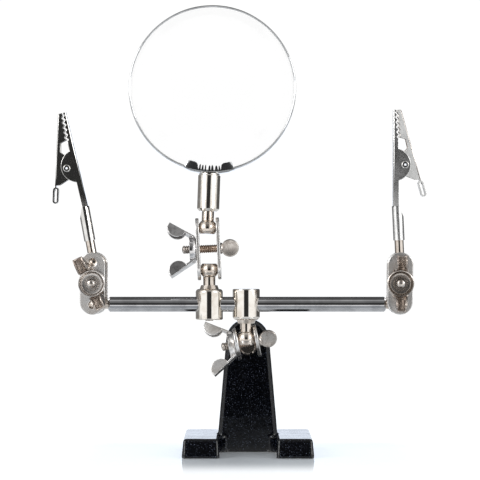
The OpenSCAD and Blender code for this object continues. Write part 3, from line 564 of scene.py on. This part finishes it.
def weigh_edges(work, cut, fold=0.0, back=None, cheek=None, calm=None):
    """Writes how wide each real edge's round is, as a share of the widest, and returns that one.
    A fold joins a face along back to one along cheek. Where calm(point) is true, the edges stay."""
    widest = max(cut, fold)
    weights = work.edges.layers.float.new("bevel_weight_edge")
    real = [e for e in work.edges if len(e.link_faces) == 2 and e.calc_face_angle(0.0) > real_edge]
    sharp_at = {}
    for edge in real:
        for vert in edge.verts:
            sharp_at.setdefault(vert, []).append(edge)
    for edge in real:
        width = cut
        one, two = (f.normal for f in edge.link_faces)
        if fold and edge.is_convex and edge.calc_length() > shortest_fold:
            pairs = ((one, two), (two, one))
            if any(abs(a.dot(back)) > 0.9 and abs(b.dot(cheek)) > 0.9 for a, b in pairs):
                width = fold
        for vert in edge.verts:
            along = (edge.other_vert(vert).co - vert.co).normalized()
            for other in sharp_at[vert]:
                if other is edge:
                    continue
                turn = along.angle((other.other_vert(vert).co - vert.co).normalized(), 0.0)
                if turn < straight_on:
                    width = min(width, 0.42 * other.calc_length() / mm)
        if calm and any(calm(vert.co) for vert in edge.verts):
            width = calm_width
        edge[weights] = width / widest
    return widest


def stamped(node, name, finish, slot_name, rim=None, **widths):
    """A copy of a solid whose edges are rounded by these widths; rim is a finish for the rounds, a darker one
    that paints shade along the edges.
    """
    made = copy_of(node, name)
    work = bmesh.new()
    work.from_mesh(made.data)
    bmesh.ops.dissolve_limit(work, angle_limit=same_plane, verts=work.verts, edges=work.edges)
    work.normal_update()
    widest = weigh_edges(work, **widths)
    work.to_mesh(made.data)
    work.free()
    bevel = made.modifiers.new("edge", "BEVEL")
    bevel.width = widest * mm
    bevel.segments = 3
    bevel.limit_method = "WEIGHT"
    bevel.use_clamp_overlap = False
    made.data.materials.clear()
    made.data.materials.append(finish)
    if rim:
        made.data.materials.append(rim)
        bevel.material = 1
    apply_modifiers(made)
    made.data.shade_smooth()
    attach(made, nodes[node]["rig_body"])
    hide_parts(node)
    keep_edges(made, 34)
    flat_shading(made)
    return made


same_plane, straight_on = math.radians(0.6), math.radians(150)
shortest_fold, calm_width = 2.5 * mm, 0.04
for name in list(nodes):
    if name.endswith("_plate"):
        stamped(name, name + "_stamped", satin_nickel, "satin_nickel", cut=0.3)

# %% [markdown]
# A clip's jaws are folded from one sheet each, so their backs meet the cheeks in a round fold and
# the cut edges are nearly sharp. The places that matter, the barrel's end and the thumb tab, are
# known from the jaws' own frame, which the clip's hinge and its rod give. The left clip is still
# bright, the right one is clouded by use, and both thumb tabs are frosted.


# %% Clip jaws
def jaw_frame(hand):
    """The frame of a clip's jaws: X from the fixed jaw's back, Z from the heel to the tips."""
    hinge = joints[hand + "_clip_jaw"]
    y = Vector(hinge["axis"]).normalized()
    rod = Vector(joints[hand + "_clip_spin"]["axis"]).normalized()
    z = Matrix.Rotation(math.radians(jaw_incline), 3, y) @ rod
    turned = Matrix((y.cross(z), y, z)).transposed().to_4x4()
    heel = Matrix.Translation((-pivot_x * mm, 0, -pivot_up * mm))
    return Matrix.Translation(Vector(hinge["pos_m"])) @ turned @ heel


jaw_l, jaw_incline, jaw_angle, sheet_t = 37.0, 2.8, 15.6, 0.6
pivot_x, pivot_up = 4.65, jaw_l - 21.1
barrel_end, tab_start, frost_start = 0.5, jaw_l - 26.2, jaw_l - 27.0
jaw_finish = {"left": (bright_sheet, bright_sheet), "right": (clouded_sheet, frosted_sheet)}
for hand in ("left", "right"):
    to_jaw = jaw_frame(hand).inverted()
    turned = jaw_frame(hand).to_3x3()
    back, cheek = turned.col[0], turned.col[1]
    leaning = Matrix.Rotation(math.radians(-jaw_angle), 3, cheek) @ back
    fixed_finish, moving_finish = jaw_finish[hand]
    stamped(hand + "_clip_fixed_jaw", hand + "_fixed_jaw_sheet", fixed_finish, "bright_nickel",
            cut=0.16, fold=0.8, back=back, cheek=cheek,
            calm=lambda point, to_jaw=to_jaw: (to_jaw @ point).z < barrel_end * mm)
    # The right moving jaw's rounds get the darker stamped finish: painted shade that draws its outline.
    moving = stamped(hand + "_clip_moving_jaw", hand + "_moving_jaw_sheet", moving_finish, "bright_nickel",
                     cut=0.16, fold=0.8, back=leaning, cheek=cheek,
                     calm=lambda point, to_jaw=to_jaw: (to_jaw @ point).z < tab_start * mm,
                     rim=stamped_nickel if hand == "right" else None)
    moving.data.materials.append(frosted_sheet)
    for face in moving.data.polygons:
        if (to_jaw @ face.center).z < frost_start * mm:
            face.material_index = len(moving.data.materials) - 1

# %% [markdown]
# The lens, the ring and the hubs of the nuts are round. Blender can spin a profile with a
# modifier, but then the seam and the middle need mending, and each leaning axis needs an object
# of its own. The helper here walks once round the axis and writes the faces itself.


# %% Turning a piece on the lathe
def turned_faces(outline, steps, closed):
    """Points and faces of an outline of (radius, height) pairs, turned round the Z axis."""
    points, faces, rows = [], [], []
    for radius, height in outline:
        count = steps if radius > 1e-6 else 1
        rows.append(list(range(len(points), len(points) + count)))
        points += [round_z(radius, 2 * math.pi * k / count, height) for k in range(count)]
    pairs = list(zip(rows, rows[1:]))
    if closed:
        pairs.append((rows[-1], rows[0]))
    for low_row, high_row in pairs:
        for k in range(steps):
            nxt = (k + 1) % steps
            corner = [low_row[k % len(low_row)], low_row[nxt % len(low_row)],
                      high_row[nxt % len(high_row)], high_row[k % len(high_row)]]
            faces.append([c for i, c in enumerate(corner) if c not in corner[:i]])
    return points, faces


def lathe(name, outline, frame_at, body, finish, steps, closed=True):
    """Turns an outline of (radius, height) points in mm round the frame's Z axis."""
    points, faces = turned_faces(outline, steps, closed)
    return piece(name, [frame_at @ (p * mm) for p in points], faces, body, finish)


# %% [markdown]
# The magnifier leans a little to the right and to the back. Its joint gives the middle of the
# upper ball; from there the ferrule, the saddle's sheet and half the ring lead to the middle of
# the lens, and the frame there has Z along the lens's axis.

# %% Where the magnifier stands
head_lean, head_back = 2.0, 3.5
head_turn = Matrix.Rotation(math.radians(head_lean), 4, "Y")
head_turn = head_turn @ Matrix.Rotation(math.radians(-head_back), 4, "X")
head_place = Vector(joints["magnifier_spin"]["pos_m"])
band_r, band_t, band_half = 64.5 / 2, 0.5, 2.5
ferrule_z, ferrule_l, saddle_t = 6.3, 14.6, 0.6
ring_z = (ferrule_z + ferrule_l + saddle_t + band_r) * mm
ring_at = Matrix.Translation(head_place) @ head_turn @ Matrix.Translation((0, 0, ring_z))
ring_at = ring_at @ Matrix.Rotation(math.pi / 2, 4, "X")
print("ring centre", [round(v / mm, 2) for v in ring_at.translation])

# %% [markdown]
# The lens is ground glass, thickest in the middle. A solid cut into flat faces would show its
# facets as ripples in the light, so it is turned again as a fine mesh, with the same two faces
# of one radius and the same narrow rim. Handling leaves a faint haze in patches.

# %% Lens
lens_glass, tree, shader = new_finish("lens_glass")
shader.inputs["Base Color"].default_value = (1.0, 1.0, 1.0, 1)
shader.inputs["Transmission Weight"].default_value = 1.0
shader.inputs["IOR"].default_value = 1.5
where = add(tree, "ShaderNodeTexCoord").outputs["Object"]
haze = add(tree, "ShaderNodeTexNoise", Scale=90.0, Detail=4.0, Roughness=0.6)
tree.links.new(where, haze.inputs["Vector"])
tree.links.new(ease(tree, haze.outputs["Fac"], 0.55, 0.8, 0.0, 0.04), shader.inputs["Roughness"])
lens_r, face_r, edge_half = band_r - band_t - 0.05, 115.0, 0.8
rise = math.sqrt(face_r ** 2 - lens_r ** 2)
arc_rs = [lens_r * k / 24 for k in range(25)]
arc = [(r, edge_half - rise + math.sqrt(face_r ** 2 - r ** 2)) for r in arc_rs]
outline = [(r, -h) for r, h in arc] + [(r, h) for r, h in reversed(arc)]
lens = lathe("ground_lens", outline, ring_at, "magnifier", lens_glass, steps=160, closed=False)
keep_edges(lens, 25)
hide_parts("lens_glass")
print("lens thickness", round(2 * arc[0][1], 2), "mm")

# %% [markdown]
# The ring is a strip of thin sheet whose two edges are rolled over the glass. Seen from the
# front it is only the round of that roll, so it shows a bright line that darkens where it turns
# up. A square-edged band would show a flat dark face instead; the outline turned here ends in
# two half rounds.

# %% Ring
lip, roll = band_r - band_t - 0.3, 0.4
front = [(band_r - roll + roll * math.cos(a), band_half - roll + roll * math.sin(a))
         for a in (math.radians(d) for d in range(0, 181, 20))]
inside = [(lip, band_half - roll - 0.12), (band_r - band_t, band_half - roll - 0.16)]
half_ring = front + inside
outline = half_ring + [(r, -h) for r, h in reversed(half_ring)]
ring = lathe("rolled_ring", outline, ring_at, "magnifier", ring_chrome, steps=220)
keep_edges(ring, 40)
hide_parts("lens_band")
print("ring", len(ring.data.polygons), "faces")

# %% [markdown]
# The saddle is a small stamping that grips the ring: a curved floor with a rolled edge, two round
# lugs that stand up at its ends and a comb of crimped teeth between them. Modelled in place it
# would be all slanted planes, so each wall is first drawn flat, as one outline along the ring.


# %% Outline of the saddle's walls
def bend(along, rise, depth):
    """A point of the saddle: along the ring, up from its floor towards the lens, and forward."""
    angle = -math.pi / 2 + along / band_r
    radius = band_r + 0.05 - rise
    return ring_at @ Vector((radius * mm * math.cos(angle), radius * mm * math.sin(angle), depth * mm))


def lug(start, end, height, corner):
    """The outline of a round-cornered lug, from its start to its end along the ring."""
    shape = []
    for centre, first in ((start + corner, 180), (end - corner, 90)):
        shape += [(centre + corner * math.cos(math.radians(first - d)),
                   height - corner + corner * math.sin(math.radians(first - d))) for d in range(0, 91, 15)]
    return shape


half_l, lug_foot, wall_low = 9.9, 4.7, -0.2
wall_top = [(-half_l, wall_low)] + lug(-half_l, -lug_foot, 3.15, 1.7)
for tooth, wide, tall in ((-3.85, 0.42, 2.6), (-2.75, 0.45, 2.45), (-1.6, 0.34, 2.55), (0.0, 0.5, 2.4),
                          (1.15, 0.55, 2.5), (2.75, 0.62, 2.3), (3.95, 0.4, 2.2)):
    wall_top += [(tooth - wide, 0.25), (tooth - wide * 0.75, tall * 0.75), (tooth - wide * 0.35, tall),
                 (tooth + wide * 0.35, tall), (tooth + wide * 0.75, tall * 0.75), (tooth + wide, 0.25)]
wall_top += lug(lug_foot, half_l, 3.05, 1.5) + [(half_l, wall_low)]
wall_top += [(half_l - 0.9 * k, wall_low) for k in range(1, 22)]
print("saddle wall", len(wall_top), "points")

# %% [markdown]
# Both walls are that outline with the sheet's thickness. The floor between them is a strip with
# one rolled section all along, which only gets slimmer towards the ends.

# %% Walls and floor of the saddle
wall_y, wall_t = 3.1, 0.5
work = bmesh.new()
for side in (1, -1):
    plate(work, wall_top, side * wall_y, -side * wall_t)
bead = [(2.9, 0.1), (3.12, 0.1), (3.15, 0.04), (3.1, -0.08), (2.86, -0.36), (2.6, -0.56), (2.3, -0.58)]
strip = [(-d, h) for d, h in bead] + list(reversed(bead))
rows, floor_half = [], 10
for k in range(45):
    along = -floor_half + 2 * floor_half * k / 44
    slim = min(1.0, 0.35 + (floor_half - abs(along)) * 0.25)
    rows.append([work.verts.new((along, 0.1 + (h - 0.1) * slim, d)) for d, h in strip])
for a, b in zip(rows, rows[1:]):
    for k in range(len(strip)):
        nxt = (k + 1) % len(strip)
        work.faces.new((a[k], a[nxt], b[nxt], b[k]))
work.faces.new(list(reversed(rows[0])))
work.faces.new(rows[-1])
bmesh.ops.recalc_face_normals(work, faces=work.faces)
print("flat saddle", len(work.faces), "faces")

# %% [markdown]
# Still flat, the outer edges are rounded and the ends get extra cuts across, so that they can
# curl. Then every point moves to its place round the ring, and the lugs' ends turn inwards.

# %% The saddle softened and bent round the ring
crimp, crimp_from = 0.45, 7.6
crisp = []
for edge in work.edges:
    one, two = (v.co for v in edge.verts)
    outside = abs(one.z - two.z) < 0.01 and abs(abs(one.z) - wall_y) < 0.01
    if outside and min(one.y, two.y) > 0 and abs(edge.calc_face_angle(0.0)) > math.radians(60):
        crisp.append(edge)
bmesh.ops.bevel(work, geom=crisp, offset=0.3, segments=3, affect="EDGES", clamp_overlap=True)
for cut_at in (-9.3, -8.7, -8.1, 8.1, 8.7, 9.3):
    every = list(work.verts) + list(work.edges) + list(work.faces)
    bmesh.ops.bisect_plane(work, geom=every, plane_co=(cut_at, 0, 0), plane_no=(1, 0, 0))
bmesh.ops.triangulate(work, faces=[f for f in work.faces if len(f.verts) > 4])
saddle_mesh = bpy.data.meshes.new("crimped_saddle")
for vert in work.verts:
    curled = max(0.0, abs(vert.co.x) - crimp_from) / (half_l - crimp_from)
    curl = crimp * curled ** 2 if vert.co.y > 0.12 else 0.0
    vert.co = bend(vert.co.x, vert.co.y, math.copysign(abs(vert.co.z) - curl, vert.co.z))
bmesh.ops.recalc_face_normals(work, faces=work.faces)
work.to_mesh(saddle_mesh)
work.free()
saddle = put("crimped_saddle", saddle_mesh)
saddle_mesh.materials.append(ring_chrome)
saddle_mesh.shade_smooth()
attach(saddle, "magnifier")
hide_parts("lens_saddle")
keep_edges(saddle, 35)
print("saddle", len(saddle_mesh.polygons), "faces")

# %% [markdown]
# A thumb screw's thread is its whole character where it crosses the open link: a fine helix.
# Rings stacked on each other would do from afar, but a real screw climbs, so the shank's radius
# follows the turn and the height together. The head is a flattened disc.


# %% Threaded shank
def thread(length, radius, depth, pitch, steps=30, per_turn=8):
    """Points and faces of a shank whose radius climbs round it like a real thread."""
    rows, run_out, tip = int(length / pitch * per_turn), 0.5, 0.8
    points = []
    for i in range(rows + 1):
        height = length * i / rows
        fade = min(1.0, height / run_out, max(0.0, length - tip - height) / run_out)
        dome = max(0.0, 1 - max(0.0, (height - length + tip) / tip) ** 2) ** 0.5
        for k in range(steps):
            phase = (height / pitch - k / steps) % 1.0
            groove = abs(2 * phase - 1)
            r = (radius - depth * max(0.0, 1 - 1.35 * groove) * fade) * max(dome, 0.03)
            points.append(round_z(r, 2 * math.pi * k / steps, height))
    return points, tube_faces(rows + 1, steps)


def rounded_disc(radius, thickness, edge, dish, steps=72):
    """Points and faces of a thick disc with round edges and slightly hollow faces, round Z."""
    half = thickness / 2
    side = [(0.0, half - dish), (radius * 0.55, half - dish), (radius - edge * 1.6, half)]
    side += [(radius - edge + edge * math.sin(a), half - edge + edge * math.cos(a))
             for a in (math.radians(d) for d in (0, 22, 45, 67, 90))]
    outline = [(r, -h) for r, h in side] + list(reversed(side))
    return turned_faces(outline, steps, False)

# %% [markdown]
# Each link is clamped in its middle. Its two tilt joints give the way from ball to ball, and the
# screw's own joint the way across, so a screw or nut is modelled once, upright, and put in place
# by the link's frame. A last turn sets how far each was screwed round.


# %% Where the screws and nuts of the links sit
plate_out, face_gap = 4.579, 0.05
plate_face = plate_out + face_gap
far_joint = {"base": "base_collar_stud_tilt", "lens": "lens_stud_tilt",
             "left": "left_clip_stud_tilt", "right": "right_clip_stud_tilt"}
paddle_turn = {"base": 65, "lens": -6, "left": 35, "right": -20}


def link_frame(link, side, turn):
    """The frame of a link's screw (side 1) or nut (side -1): Z from the screw's head to its tip."""
    low, high = (Vector(joints[n]["pos_m"]) for n in (link + "_link_tilt", far_joint[link]))
    across = Vector(joints[link + "_screw_turn"]["axis"]).normalized()
    along = (high - low).normalized()
    third = along.cross(across)
    turned = Matrix((along, third, -across)).transposed().to_4x4()
    place = Vector(joints[link + "_screw_turn"]["pos_m"]) + across * (side * plate_face * mm)
    return Matrix.Translation(place) @ turned @ Matrix.Rotation(math.radians(turn), 4, "Z")


print("links", [[round(v / mm, 1) for v in link_frame(link, 1, 0).translation] for link in far_joint])

# %% [markdown]
# A screw is a shank, a neck under its head and the disc stood on edge, in one mesh. Between the
# plates the thread looks of copper, so those faces get a second finish.

# %% The four thumb screws
screw_r, screw_tip, thread_depth, pitch, paddle_r, paddle_t = 1.6, 5.5, 0.34, 0.72, 3.4, 1.3
shoulder_h, shoulder_r = 0.3, 2.2
screw_length = 2 * plate_face + screw_tip
neck, neck_steps = [(screw_r, -1.1), (2.05, -0.7), (shoulder_r, -shoulder_h), (shoulder_r, 0.0)], 36
for link in far_joint:
    at = link_frame(link, 1, paddle_turn[link])
    points, faces = thread(screw_length, screw_r, thread_depth, pitch)
    head, head_faces = rounded_disc(paddle_r, paddle_t, 0.3, 0.12)
    lift = Matrix.Translation((0, 0, -paddle_r - shoulder_h)) @ Matrix.Rotation(math.pi / 2, 4, "X")
    count = len(points)
    points += [lift @ p for p in head]
    faces += [tuple(count + i for i in face) for face in head_faces]
    count = len(points)
    points += [round_z(r, 2 * math.pi * k / neck_steps, h) for r, h in neck for k in range(neck_steps)]
    faces += [tuple(count + i for i in face) for face in tube_faces(len(neck), neck_steps)]
    points = [at @ (p * mm) for p in points]
    screw = piece(link + "_screw", points, faces, link + "_thumb_screw", stamped_nickel)
    keep_edges(screw, 40)
    screw.data.materials.append(copper_thread)
    for face in screw.data.polygons:
        spot = at.inverted() @ face.center
        if 0.2 * mm < spot.z < 2 * plate_face * mm:
            face.material_index = 1
    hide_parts(link + "_link_thumb_screw")
print("screw length", round(screw_length, 2), "mm")

# %% [markdown]
# A wing nut is one stamping, but it is easier to make well from simple plates. Every plate gets
# its rims rounded while it is still flat, and the thin bright lines along the wings are those
# rounds.


# %% Plates with rounded rims
def slab(work, outline, thick, edge, place):
    """Adds a flat plate with this outline to a mesh, rounds its rims and puts it in its place."""
    part = bmesh.new()
    plate(part, outline, 0, thick)
    bmesh.ops.recalc_face_normals(part, faces=part.faces)
    rims = [e for e in part.edges if abs(e.verts[0].co.z - e.verts[1].co.z) < 1e-6]
    bmesh.ops.bevel(part, geom=rims, offset=edge, segments=4, profile=0.5, affect="EDGES", clamp_overlap=True)
    bmesh.ops.transform(part, matrix=place, verts=part.verts)
    flat = bpy.data.meshes.new("flat_plate")
    part.to_mesh(flat)
    part.free()
    work.from_mesh(flat)
    bpy.data.meshes.remove(flat)

# %% [markdown]
# The hub is a dish with a rolled rim. Each wing is a web that leans out of the hub and tapers to
# its end, with a D-shaped ear along each side.

# %% Outlines of a wing nut
nut_span, nut_h = 21.6, 9.9
sheet, hub_r, root_w, tip_w, ear_r = 0.7, 5.2, 6.0, 4.0, 3.8
root_x, root_z = hub_r - 0.6, sheet / 2
run_x, run_z = nut_span / 2 - root_x, nut_h - root_z
web_l = math.hypot(run_x, run_z)
taper = math.atan2((root_w - tip_w) / 2, web_l)
hub_outline = [(1.66, 0.0), (4.25, 0.0), (4.72, 0.32), (4.98, 0.9), (5.18, 2.3), (5.12, 2.5), (4.96, 2.6),
               (4.74, 2.56), (4.6, 2.38), (4.3, 1.05), (4.05, 0.78), (3.7, 0.7), (2.8, 0.7), (2.64, 0.84),
               (2.5, 1.8), (2.32, 2.0), (1.82, 2.0), (1.66, 1.86)]
web = [(-root_w / 2 + 0.1, 0), (root_w / 2 - 0.1, 0)]
for a in (math.radians(d) for d in (0, 30, 60, 90)):
    web.append((tip_w / 2 - 1 + math.cos(a), web_l - 1 + math.sin(a)))
web += [(-x, z) for x, z in reversed(web[2:])]
ear = []
for k in range(61):
    a = math.radians(6 * k)
    x, z = -sheet / 2 + ear_r * math.cos(a), web_l - ear_r + 0.3 + ear_r * math.sin(a)
    if x < -0.02 and z < web_l - 0.02:
        ear.append((x, z))
ear += [(0.0, min(p[1] for p in ear)), (0.0, max(p[1] for p in ear))]
ear.sort(key=lambda p: math.atan2(p[1] - web_l + 4.2, p[0] + 2.0))
print("web", round(web_l, 2), "mm long, ear points", len(ear))

# %% [markdown]
# The hub is turned in its place on the link, and the two wings are joined to it as plates. The
# hubs and the wings have separate finishes; on two nuts the wings get a darker, browner finish
# than their hubs, which is painted shade.

# %% The four wing nuts
web_rim, ear_rim = 0.2, 0.26
flat_to_web = Matrix(((0, 0, 1, -sheet), (1, 0, 0, 0), (0, 1, 0, 0), (0, 0, 0, 1)))
nut_turn = {"base": 90, "lens": 15, "left": 25, "right": 0}
# The left and right nuts' wings wear painted shade, darker and browner than their hubs.
nut_finish = {"base": (satin_nickel, satin_nickel), "lens": (fresh_nickel, fresh_nickel),
              "left": (hub_nickel, shaded_wing_nickel), "right": (stamped_nickel, shaded_wing_nickel)}
for link in far_joint:
    at = link_frame(link, -1, nut_turn[link])
    hub_finish, wing_finish = nut_finish[link]
    nut = lathe(link + "_nut", hub_outline, at, link + "_wing_nut", hub_finish, steps=72)
    nut.data.materials.append(wing_finish)
    hub_faces = len(nut.data.polygons)
    work = bmesh.new()
    work.from_mesh(nut.data)
    for half_turn in (0, math.pi):
        wing = at @ Matrix.Scale(mm, 4) @ Matrix.Rotation(half_turn, 4, "Z")
        wing = wing @ Matrix.Translation((root_x, 0, root_z))
        wing = wing @ Matrix.Rotation(math.atan2(run_x, run_z), 4, "Y")
        slab(work, web, sheet, web_rim, wing @ flat_to_web)
        for side in (1, -1):
            stood = Matrix.Translation((0, side * root_w / 2, 0))
            stood = stood @ Matrix.Rotation(side * taper + math.pi / 2, 4, "X")
            stood = stood @ Matrix.Translation((0, 0, 0 if side > 0 else -sheet))
            slab(work, ear, sheet, ear_rim, wing @ stood)
    work.to_mesh(nut.data)
    work.free()
    for face in list(nut.data.polygons)[hub_faces:]:
        face.material_index = 1
    nut.data.shade_smooth()
    keep_edges(nut, 40)
    flat_shading(nut)
    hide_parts(link + "_link_wing_nut")

# %% [markdown]
# Round wire could be a curve with a depth, but the frame wants plain closed meshes. Rings of
# points swept along a path give them, and each ring is turned as little as the path allows.


# %% Round wire along a path
def sweep(path, radius, steps=12):
    """Points and faces of round wire along a path."""
    points = []
    last = len(path) - 1
    across = None
    for i, spot in enumerate(path):
        ahead = (path[min(i + 1, last)] - path[max(i - 1, 0)]).normalized()
        if across is None:
            across = ahead.orthogonal().normalized()
        across = (across - ahead * across.dot(ahead)).normalized()
        other = ahead.cross(across)
        for turn in (2 * math.pi * k / steps for k in range(steps)):
            points.append(spot + radius * (math.cos(turn) * across + math.sin(turn) * other))
    return points, tube_faces(len(path), steps)

# %% [markdown]
# The spring in a clip is hard wire, wound round the rivet with a leg on each jaw. The leg on the
# moving jaw is a piece of its own: it turns with that jaw about the coil's middle, so its root
# stays on the coil.

# %% Clip springs
wire_r, rivet_r, shoulder_w, tip_depth, leg_d = 0.25, 1.9 / 2, 5.6 - 1.4, 3.2, 25.4
coil_r = rivet_r + wire_r + 0.35
coil_half = shoulder_w / 2 - sheet_t - wire_r - 0.1
leg_x, leg_up = sheet_t + wire_r + 0.05, jaw_l - leg_d
far_x = tip_depth + math.tan(math.radians(jaw_angle)) * leg_d - leg_x - 0.2
near_side, far_side = pivot_x - coil_r, pivot_x + coil_r
coil_path = [Vector((leg_x, -coil_half, leg_up - 1)),
             Vector(((leg_x + near_side) / 2, -coil_half, pivot_up - 2.6))]
for i in range(101):
    a = math.radians(180 - i * 9.0)
    across = coil_half * (2 * i / 100 - 1)
    coil_path.append(Vector((pivot_x + coil_r * math.cos(a), across, pivot_up + coil_r * math.sin(a))))
leg_path = [coil_path[-1],
            Vector(((far_x + far_side) / 2, coil_half, pivot_up - 2)),
            Vector((far_x, coil_half, leg_up))]

for hand in ("left", "right"):
    at = jaw_frame(hand)
    for part, path, body in (("coil", coil_path, "clip"), ("leg", leg_path, "moving_jaw")):
        points, faces = sweep(path, wire_r)
        points = [at @ (p * mm) for p in points]
        wire = piece(f"{hand}_spring_{part}", points, faces, f"{hand}_{body}", wire_steel)
        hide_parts(hand + "_clip_spring")
coil_wire = sum((a - b).length for a, b in zip(coil_path, coil_path[1:]))
print("spring wire", round(coil_wire, 1), "mm in the coil")
